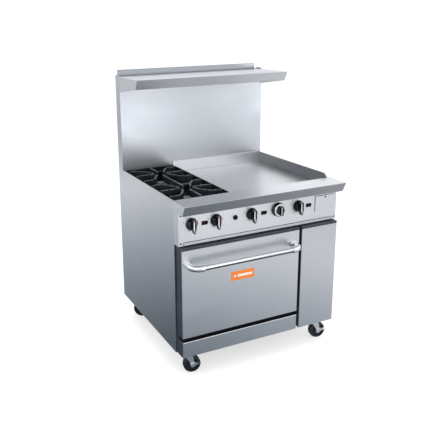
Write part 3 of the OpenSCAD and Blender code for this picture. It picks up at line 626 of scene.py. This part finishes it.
def corner_shade_strips():
    """Dark strips on the front flanges of the two side panels, beside the door and the right panel: painted
    shade in the gaps there.
    """
    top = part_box("control_panel")[0].z
    for side in ("left", "right"):
        low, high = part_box(side + "_side_panel")
        add_block(side + "_corner_shade_strip", (low.x + 0.5 * MM, low.y - 0.3 * MM, low.z + CAP_INSET),
                  (high.x - 0.5 * MM, low.y, top), "range_body", slate_shade_and_seam)


corner_shade_strips()


LIP_RADIUS = 2 * MM
LIP_BACK = 1.5 * MM    # the lip's axis behind the kick panel's face
LIP_SIDES = 12


def kick_highlight_lip():
    """Bright rolled lip along the top of the kick panel: a painted highlight on that edge."""
    low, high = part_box("kick_panel")
    turns = [math.radians(360 / LIP_SIDES * i) for i in range(LIP_SIDES)]

    def lip(bm):
        near, far = [[bm.verts.new((x, low.y + LIP_BACK + LIP_RADIUS * math.cos(a),
                                    high.z + LIP_RADIUS * math.sin(a))) for a in turns]
                     for x in (low.x, high.x)]
        for i in range(LIP_SIDES):
            j = (i + 1) % LIP_SIDES
            bm.faces.new((near[i], near[j], far[j], far[i]))
        bm.faces.new(near)
        bm.faces.new(far[::-1])

    add_piece("kick_highlight_lip", lip, "range_body", trim_chrome)


kick_highlight_lip()


# In millimetres: X of the sight slots' middles, half the width of a shield, Z of its lower and upper
# edge, and how far behind the control panel's face it begins and ends
SLOT_MIDDLES = (-318, 12, 282)
SHIELD_HALF = 23
SHIELD_HEIGHTS = (786, 832)
SHIELD_DEPTHS = (2.2, 3.4)


def slot_shade_plates():
    """Black plates behind the sight slots of the control panel: painted shade that keeps the slots dark."""
    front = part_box("control_panel")[0].y
    y0, y1 = (front + depth * MM for depth in SHIELD_DEPTHS)
    z0, z1 = (height * MM for height in SHIELD_HEIGHTS)
    for i, x in enumerate(SLOT_MIDDLES):
        add_block(f"slot_shade_plate_{i + 1}", ((x - SHIELD_HALF) * MM, y0, z0), ((x + SHIELD_HALF) * MM, y1, z1),
                  "range_body", box_enamel)


slot_shade_plates()


PRINT_HALF = 6 * MM    # half the height of the bar and the square


def badge_bar():
    """A plain white bar and square on the badge, in place of lettering."""
    low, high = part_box("door_badge")
    mid = (low.z + high.z) / 2
    for name, x0, x1 in (("bar", low.x + 34 * MM, high.x - 12 * MM),
                         ("square", low.x + 14 * MM, low.x + 26 * MM)):
        def patch(bm, x0=x0, x1=x1):
            outline = rounded(x0, x1, mid - PRINT_HALF, mid + PRINT_HALF, 2 * MM)
            plate(bm, outline, low.y - 0.4 * MM, low.y + 0.2 * MM)

        add_piece("door_badge_" + name, patch, "oven_door", white_print)


badge_bar()


def drawer_shadow_edge():
    """Dark edge behind the front of the grease drawer, along its left and top: painted shadow in the gap
    around the front.
    """
    low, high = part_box("grease_drawer")
    edge = 1.4 * MM      # how far it shows past the front
    back = low.y + 2.9 * MM
    thick = 1.6 * MM
    add_block("drawer_shadow_edge", (low.x - edge, back - thick, low.z), (high.x, back, high.z + edge),
              "drawer", slate_shade_and_seam)


drawer_shadow_edge()


INDEX_PLACE = (-40, 12)    # millimetres right of a knob's axis and above it
INDEX_ENDS = (-4, 2)       # the line's ends, in millimetres from there
INDEX_HALF = 1.2 * MM


def panel_marks():
    """A short printed line to the left of each burner knob."""
    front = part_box("control_panel")[0].y
    for number in range(1, 5):
        pivot = pivots[f"knob_{number}_turn"]
        x, z = in_metres([INDEX_PLACE], pivot.x, pivot.z)[0]
        x0, x1 = (x + end * MM for end in INDEX_ENDS)
        add_block(f"knob_{number}_index", (x0, front - 0.25 * MM, z - INDEX_HALF),
                  (x1, front + 0.2 * MM, z + INDEX_HALF), "range_body", knob_black)


panel_marks()


def handle_rings():
    """Dark seams where the bar goes into its two elbows."""
    low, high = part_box("door_handle")
    mid = (low + high) / 2
    inner, outer = (high.z - low.z) / 2 - 1 * MM, (high.z - low.z) / 2 + 0.4 * MM
    half = 1 * MM
    for side, x in (("left", low.x), ("right", high.x)):
        def ring(bm, x=x):
            lathe(bm, (x, mid.y, mid.z), (1, 0, 0),
                  [(inner, -half), (outer, -half), (outer, half), (inner, half)])

        add_piece("handle_seam_" + side, ring, "oven_door", slate_shade_and_seam, 0.3 * MM)


handle_rings()

# Sections of an elbow's socket and screw: millimetres from their axis, and towards the handle's middle
ELBOW_SOCKET = [(3.5, -6), (11, -6), (11, 0.2), (9.6, 1.4), (7, 1.4), (7, 0), (3.5, 0)]
ELBOW_SCREW = [(0.5, -4), (5, -4), (5, 0.2), (4, 0.9), (0.5, 0.9)]
SCREW_INSET = 34 * MM    # from the elbow's outer side
SCREW_GAP = 15 * MM      # from the elbow's back, next to the door


def elbow_screws():
    """A dark socket with a screw on the inner side of each elbow, next to the door."""
    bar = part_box("door_handle")
    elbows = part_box("handle_elbows")
    z = (bar[0].z + bar[1].z) / 2
    y = elbows[1].y - SCREW_GAP
    for side, x, inward in (("left", elbows[0].x + SCREW_INSET, 1),
                            ("right", elbows[1].x - SCREW_INSET, -1)):
        for name, section, material, slot in (("socket", ELBOW_SOCKET, knob_black, "black_frame"),
                                              ("screw", ELBOW_SCREW, zinc, "zinc_plate")):
            def turned(bm, x=x, inward=inward, section=section):
                lathe(bm, (x, y, z), (inward, 0, 0), in_metres(section))

            add_piece(f"elbow_{name}_{side}", turned, "oven_door", material, 0.2 * MM)


elbow_screws()

# ------------------------------------------------------------------ floor and lights


FLOOR_HALF = 40.0                       # metres
FLOOR_PALE = ((0.50, 0.50, 0.505), (0.52, 0.52, 0.525))
FLOOR_GLOW = (0.60, 0.60, 0.60)         # light that the floor gives to the camera
POOL_CENTRE = (-0.66, -0.24, 0)         # darkest place of the reflected floor
POOL_SLOPE = 0.34                       # rise of the level for each metre away from there
POOL_TILT = (0.06, -0.06, 0)            # extra rise for each metre along X and Y
POOL_BASE = 0.04
POOL_RANGE = 4                          # level at the ramp's end
FLOOR_STOPS = [(0.0, (0.03, 0.05, 0.07)), (0.125, (0.46, 0.51, 0.56)), (0.25, (1.0, 1.01, 1.03)),
               (0.42, (0.50, 0.53, 0.57)), (1.0, (0.80, 0.82, 0.85))]
# Colours of the reflected sky by the Z of the direction, from the horizon (0) to overhead (1)
SKY_STOPS = [(0.0, (0.90, 0.91, 0.93)), (0.3, (1.55, 1.56, 1.59)), (0.62, (1.45, 1.46, 1.49)),
             (0.95, (0.62, 0.64, 0.67))]
SKY_SEEN = (1.3, 1.3, 1.3)              # the sky's colour to the camera
SKY_STRENGTH = 0.85


def colour_ramp(tree, level, stops):
    """The colour of the stops at a level."""
    node = tree.nodes.new("ShaderNodeValToRGB")
    elements = node.color_ramp.elements
    for position, _ in stops[1:-1]:
        elements.new(position)
    for element, (position, colour) in zip(elements, stops):
        element.position = position
        element.color = (*colour, 1)
    tree.links.new(level, node.inputs["Fac"])
    return node.outputs["Color"]


def add_floor():
    """A plain pale floor.

    In reflections it has a dim pool beside the left side panel, a bright ring about 3 m away from that, and
    a dimmer one at about 5 m.
    """
    half = FLOOR_HALF
    mesh = bpy.data.meshes.new("floor")
    mesh.from_pydata([(-half, -half, 0), (half, -half, 0), (half, half, 0), (-half, half, 0)], [],
                     [(0, 1, 2, 3)])
    floor = bpy.data.objects.new("floor", mesh)
    bpy.context.scene.collection.objects.link(floor)
    s = Surface("floor_paint")

    def vector_maths(operation, a, b=None):
        node = s.nodes.new("ShaderNodeVectorMath")
        node.operation = operation
        s.links.new(a, node.inputs[0])
        if b is not None:
            node.inputs[1].default_value = b
        return node.outputs

    seen = s.nodes.new("ShaderNodeLightPath").outputs["Is Camera Ray"]
    offset = vector_maths("SUBTRACT", s.place, POOL_CENTRE)["Vector"]
    away = vector_maths("LENGTH", offset)["Value"]
    across = vector_maths("DOT_PRODUCT", s.place, POOL_TILT)["Value"]
    level = s.maths("ADD", s.maths("MULTIPLY", away, POOL_SLOPE), across)
    level = s.span(s.maths("ADD", level, POOL_BASE), 0, 1, 0, POOL_RANGE)
    reflected = colour_ramp(s.material.node_tree, level, FLOOR_STOPS)
    pale = s.mix(s.noise(3.0, detail=3), *FLOOR_PALE)
    s.put(s.mix(seen, (0, 0, 0), pale), s.shader.inputs["Base Color"])
    s.put(s.mix(seen, reflected, FLOOR_GLOW), s.shader.inputs["Emission Color"])
    s.shader.inputs["Emission Strength"].default_value = 1.0
    s.shader.inputs["Roughness"].default_value = 0.9
    s.shader.inputs["Specular IOR Level"].default_value = 0.0
    mesh.materials.append(s.material)


def add_softbox(name, place, target, size, power, mirrored=True):
    """An area light at place that faces target. Unless mirrored, reflections don't show it."""
    data = bpy.data.lights.new(name, "AREA")
    data.shape = "RECTANGLE"
    data.size, data.size_y = size
    data.energy = power
    lamp = bpy.data.objects.new(name, data)
    lamp.location = place
    lamp.rotation_euler = (Vector(target) - Vector(place)).to_track_quat("-Z", "Y").to_euler()
    lamp.visible_camera = False
    lamp.visible_glossy = mirrored
    bpy.context.scene.collection.objects.link(lamp)


def add_sky():
    """A white room. In reflections it is brightest above the horizon and dimmest overhead."""
    world = bpy.data.worlds.new("room")
    bpy.context.scene.world = world
    world.use_nodes = True
    tree = world.node_tree
    background = tree.nodes["Background"]
    direction = tree.nodes.new("ShaderNodeTexCoord").outputs["Generated"]
    split = tree.nodes.new("ShaderNodeSeparateXYZ")
    tree.links.new(direction, split.inputs[0])
    reflected = colour_ramp(tree, split.outputs["Z"], SKY_STOPS)
    seen = tree.nodes.new("ShaderNodeLightPath").outputs["Is Camera Ray"]
    mix = tree.nodes.new("ShaderNodeMix")
    mix.data_type = "RGBA"
    tree.links.new(seen, mix.inputs["Factor"])
    tree.links.new(reflected, mix.inputs["A"])
    mix.inputs["B"].default_value = (*SKY_SEEN, 1)
    tree.links.new(mix.outputs["Result"], background.inputs["Color"])
    background.inputs["Strength"].default_value = SKY_STRENGTH


add_floor()
add_sky()
# Name, place and target in metres, size in metres, power in watts
add_softbox("overhead", (-0.2, -0.4, 3.4), (0, 0, 0.9), (3.2, 2.6), 60, mirrored=False)
add_softbox("front_left", (-3.4, -3.0, 2.6), (0, 0, 0.8), (2.0, 2.4), 25)
add_softbox("left_glow", (0.75, -2.9, 0.75), (-0.4, 0.4, 1.2), (0.6, 0.6), 5)
add_softbox("right_glow", (2.6, -2.7, 0.85), (0.4, 0.4, 1.2), (0.8, 0.6), 5)

bpy.context.scene.view_settings.view_transform = "Standard"
